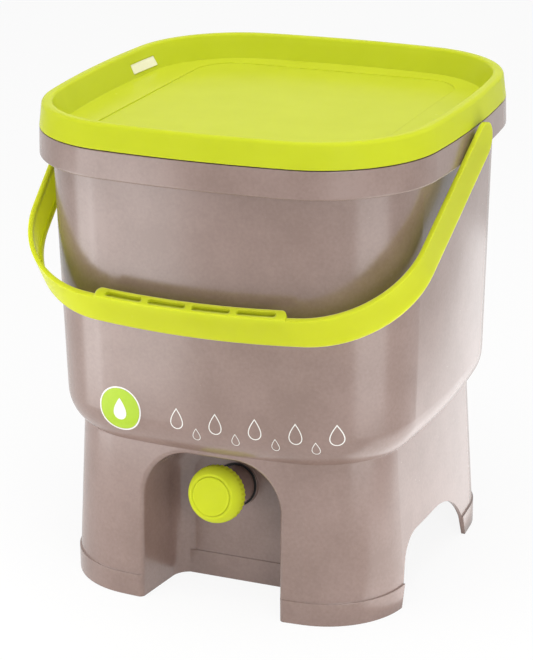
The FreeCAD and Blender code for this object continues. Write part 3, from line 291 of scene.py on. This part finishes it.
for side, name in ((-1, "painted_slot_light_left"), (1, "painted_slot_light_right")):
    bpy.ops.object.select_all(action="DESELECT")
    bpy.ops.mesh.primitive_plane_add(size=1, rotation=(0, math.pi / 2, 0))
    insert = bpy.context.object
    insert.name = name
    bpy.ops.object.transform_apply(location=False, rotation=True, scale=False)
    corners = [point.co.copy() for point in insert.data.vertices]
    for corner in corners:
        high = corner.z > 0
        y = SLOT_BACK - INSERT_GAP if corner.y > 0 else SLOT_FRONT + INSERT_GAP
        z = SLOT_HEAD - INSERT_GAP if high else SLOT_FOOT + INSERT_GAP
        sound_wall = SLOT_HEAD + BESIDE_SLOT if high else SLOT_FOOT - BESIDE_SLOT
        x = wall_beside_slot(side, y, sound_wall) + side * INSERT_DEPTH
        pick(insert, lambda place: (place - corner).length < SAME_PLACE)
        bpy.ops.transform.translate(value=Vector((x, y, z)) * MM - corner)
    bpy.ops.object.mode_set(mode="OBJECT")
    finish_with(insert, "SOLIDIFY", thickness=INSERT_THICKNESS * MM, offset=0)
    finish_with(insert, "BEVEL", width=INSERT_EDGE * MM, segments=2)
    # The pale sheet is painted light seen through the slot.
    insert.data.materials.append(PAINTED_SLOT_LIGHT)
    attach(insert, "lid")
    print(name, [round(size / MM, 1) for size in insert.dimensions])

# %% [markdown]
# ## Print on the front
# A round lime label and a shower of white drops are printed low on the front, as plain signs
# for the liquid that the tap lets out. Ink could be painted by the tub's material, but a
# drawn edge is crisper, so each mark is a thin sheet: a disc whose top point is pulled up
# with proportional editing makes a drop, and an inset with its middle deleted leaves the
# outline. Shrinkwrap then lays the flat sheets on the curved wall.

# %% Inks
# Screen ink in white and lime: flat and opaque, with little gloss, so the print looks laid on.
WHITE_INK = skinned("white_ink", "#e2dfda", "#eae8e4", fleck=0.5,
                    roughness=0.4, shine=0.4, skin=0.8, bump=0.05, edge=0.02)
LIME_INK = skinned("lime_ink", "#a3c22c", "#abc934", fleck=0.5,
                   roughness=0.35, shine=0.3, skin=0.8, bump=0.05, edge=0.02)

# %% Drawing a drop
DISC_POINTS = 48
TOP_SHARE = 0.999
TIP_PULL, TIP_REACH = 1.25, 1.7


def disc(name, radius):
    """A flat round face that looks to the front, at the origin."""
    bpy.ops.object.select_all(action="DESELECT")
    bpy.ops.mesh.primitive_circle_add(
        vertices=DISC_POINTS, radius=radius * MM, fill_type="NGON",
        rotation=(math.pi / 2, 0, 0))
    bpy.ops.object.transform_apply(location=False, rotation=True, scale=False)
    bpy.context.object.name = name
    return bpy.context.object


def drop(name, radius):
    """A disc with its top pulled up to a point."""
    mark = disc(name, radius)
    pick(mark, lambda place: place.z > TOP_SHARE * radius * MM)
    bpy.ops.transform.translate(
        value=(0, 0, TIP_PULL * radius * MM), use_proportional_edit=True,
        proportional_edit_falloff="SHARP", proportional_size=TIP_REACH * radius * MM)
    bpy.ops.object.mode_set(mode="OBJECT")
    return mark


def keep_outline(mark, width):
    """Cut the middle out of a flat mark and leave a border of this width."""
    bpy.context.view_layer.objects.active = mark
    bpy.ops.object.mode_set(mode="EDIT")
    bpy.ops.mesh.select_all(action="SELECT")
    bpy.ops.mesh.inset(thickness=width * MM)
    bpy.ops.mesh.delete(type="FACE")
    bpy.ops.object.mode_set(mode="OBJECT")


# %% Laying a mark on the tub
PRINT_PLANE = -180
INK_DEPTH = 0.08
ON_WALL, ON_INK = 0.1, 0.25


def move_to(mark, x, z, size=1):
    """Put a flat mark in front of its place on the tub, with the place in its mesh."""
    mark.location = Vector((x, PRINT_PLANE, z)) * MM
    mark.scale = (size, size, size)
    bpy.ops.object.transform_apply(location=True, rotation=True, scale=True)


def print_on_tub(mark, ink, lift):
    """Lay a flat mark on the tub's front and let it ride there."""
    finish_with(mark, "SHRINKWRAP", target=nodes["bin_body"], wrap_method="PROJECT",
                wrap_mode="ABOVE_SURFACE", use_project_y=True, offset=lift * MM)
    finish_with(mark, "SOLIDIFY", thickness=INK_DEPTH * MM, offset=0)
    mark.data.materials.append(ink)
    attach(mark, "tub")
    print(mark.name, [round(size / MM, 1) for size in mark.dimensions])


# %% [markdown]
# ### Label
# The label is a lime disc with a white ring and a white drop. One big flat face would cut
# the corner where the wall bows, so insets give it rings of points that can follow the wall.
# The drop is printed over the lime and lies a little higher.

# %% Label
LABEL_X, LABEL_Z = -66, 150
LABEL_RADIUS = 16
INSET_COUNT, INSET_WIDTH = 4, 3.2
RING_RADIUS, RING_WIDTH = 17.3, 1.1
LABEL_DROP_RADIUS, LABEL_DROP_SINK = 5.2, 3

label = disc("label", LABEL_RADIUS)
bpy.ops.object.mode_set(mode="EDIT")
bpy.ops.mesh.select_all(action="SELECT")
for _ in range(INSET_COUNT):
    bpy.ops.mesh.inset(thickness=INSET_WIDTH * MM)
bpy.ops.object.mode_set(mode="OBJECT")
move_to(label, LABEL_X, LABEL_Z)
print_on_tub(label, LIME_INK, ON_WALL)

label_ring = disc("label_ring", RING_RADIUS)
keep_outline(label_ring, RING_WIDTH)
move_to(label_ring, LABEL_X, LABEL_Z)
print_on_tub(label_ring, WHITE_INK, ON_WALL)

label_drop = drop("label_drop", LABEL_DROP_RADIUS)
move_to(label_drop, LABEL_X, LABEL_Z - LABEL_DROP_SINK)
print_on_tub(label_drop, WHITE_INK, ON_INK)

# %% [markdown]
# ### Shower of drops
# Large and small drops fall in turn beside the label. One outlined drop is drawn, and the
# others are copies of it with a mesh of their own. They are joined, so that one Shrinkwrap
# lays them all on the wall.

# %% Shower of drops
DROP_RADIUS, DROP_LINE = 5, 0.7
LARGE_DROPS = [(x, 147) for x in (-20, 10, 40, 70, 98)]
SMALL_DROPS = [(x, 138) for x in (-5, 25, 55, 84)]
SMALL_SIZE = 0.6

first = drop("drops", DROP_RADIUS)
keep_outline(first, DROP_LINE)
copies = []
for places, size in ((LARGE_DROPS, 1), (SMALL_DROPS, SMALL_SIZE)):
    for x, z in places:
        bpy.ops.object.select_all(action="DESELECT")
        first.select_set(True)
        bpy.context.view_layer.objects.active = first
        bpy.ops.object.duplicate()
        move_to(bpy.context.object, x, z, size)
        copies.append(bpy.context.object)
bpy.data.objects.remove(first)
for copy in copies:
    copy.select_set(True)
bpy.context.view_layer.objects.active = copies[0]
bpy.ops.object.join()
copies[0].name = "drops"
print_on_tub(copies[0], WHITE_INK, ON_WALL)

# %% [markdown]
# ## Studio
# The photograph was cut out on white. The floor is matt white paper. To the camera and
# in reflections most of it glows at a strength of one, which is white, and the rest is
# lit as paper is, so the bin's own shadow stays on it. Other rays see plain paper, so the
# floor throws no extra light on the bin.

# %% Floor
FLOOR_SIZE = 12
GLOW_SHARE = 0.9


def seen_directly(tree):
    """One for camera, gloss and glass rays, else zero."""
    rays = add(tree, "ShaderNodeLightPath").outputs
    seen = add(tree, "ShaderNodeMath",
               {0: rays["Is Camera Ray"], 1: rays["Is Glossy Ray"]}, operation="MAXIMUM")
    return add(tree, "ShaderNodeMath",
               {0: seen.outputs["Value"], 1: rays["Is Transmission Ray"]}, operation="MAXIMUM")


bpy.ops.object.select_all(action="DESELECT")
bpy.ops.mesh.primitive_plane_add(size=FLOOR_SIZE, location=(0, 0, 0))
floor = bpy.context.object
floor.name = "floor"
# Matt paper: an even white without a mirror, on which only the shadow shows.
paper = bpy.data.materials.new("white_paper")
paper.use_nodes = True
tree = paper.node_tree
matt = tree.nodes["Principled BSDF"]
matt.inputs["Base Color"].default_value = colour("#f2f2f1")
matt.inputs["Roughness"].default_value = 0.9
glow = add(tree, "ShaderNodeEmission", {"Color": (1, 1, 1, 1), "Strength": 1.0})
share = add(tree, "ShaderNodeMath",
            {0: seen_directly(tree).outputs["Value"], 1: GLOW_SHARE}, operation="MULTIPLY")
mixed = add(tree, "ShaderNodeMixShader",
            {"Fac": share.outputs["Value"], 1: matt.outputs["BSDF"], 2: glow.outputs["Emission"]})
tree.links.new(mixed.outputs["Shader"], tree.nodes["Material Output"].inputs["Surface"])
floor.data.materials.append(paper)
print("floor:", FLOOR_SIZE, "m square")

# %% [markdown]
# ### Sky and lamps
# A glossy tub shows its shape by what it mirrors. One strong lamp would leave a single hot
# spot. Seen from a little above, the upright walls mirror what stands low around them, so
# lit cards stand near the floor to the left and right and one lies on the floor beside the
# right wall. The front, between two cards, stays a shade darker. A soft box hangs over the
# lid, and a white sky fills the rest at half strength.

# %% Sky
SKY_ON_BIN = 0.5

world = bpy.data.worlds.new("studio")
bpy.context.scene.world = world
world.use_nodes = True
tree = world.node_tree
sky = tree.nodes["Background"]
sky.inputs["Color"].default_value = (1, 1, 1, 1)
level_of_sky = add(tree, "ShaderNodeMapRange",
                   {"Value": seen_directly(tree).outputs["Value"],
                    "To Min": SKY_ON_BIN, "To Max": 1.0})
tree.links.new(level_of_sky.outputs["Result"], sky.inputs["Strength"])
print("sky on the bin:", SKY_ON_BIN)

# %% Lamps
BIN_MIDDLE = Vector((0, 0, 0.19))
FACE_UP = (math.pi, 0, 0)


def lamp_at(name, place, turn, size, glow):
    """A rectangular lamp, in metres. Glow is how bright it looks, where white is one."""
    lamp = bpy.data.lights.new(name, "AREA")
    lamp.shape = "RECTANGLE"
    lamp.size, lamp.size_y = size
    lamp.energy = glow * math.pi * size[0] * size[1]
    stand = bpy.data.objects.new(name, lamp)
    bpy.context.scene.collection.objects.link(stand)
    stand.location = place
    stand.rotation_euler = turn
    stand.visible_camera = False
    print("lamp:", name, "glow", glow)


def lit_card(name, azimuth, distance, middle, size, glow):
    """A lamp that stands round the bin, its middle at this height, and faces the bin."""
    turn = math.radians(azimuth)
    place = Vector((math.sin(turn) * distance, -math.cos(turn) * distance, middle))
    facing = (BIN_MIDDLE - place).to_track_quat("-Z", "Y").to_euler()
    lamp_at(name, place, facing, size, glow)


lit_card("left_card", azimuth=-58, distance=0.47, middle=0.125, size=(0.16, 0.23), glow=2.4)
lit_card("inner_left_card", azimuth=-36, distance=0.47, middle=0.16, size=(0.26, 0.3), glow=2.0)
lit_card("right_card", azimuth=66, distance=0.47, middle=0.12, size=(0.24, 0.22), glow=1.7)
lit_card("front_fill", azimuth=40, distance=1.9, middle=0.6, size=(0.9, 0.9), glow=4.8)
lit_card("top_box", azimuth=20, distance=0.3, middle=1.8, size=(1.2, 1.2), glow=3.6)
lamp_at("floor_card", (0.235, 0.35, 0.003), FACE_UP, size=(0.2, 0.95), glow=1.15)
bpy.context.scene.view_settings.view_transform = "Standard"
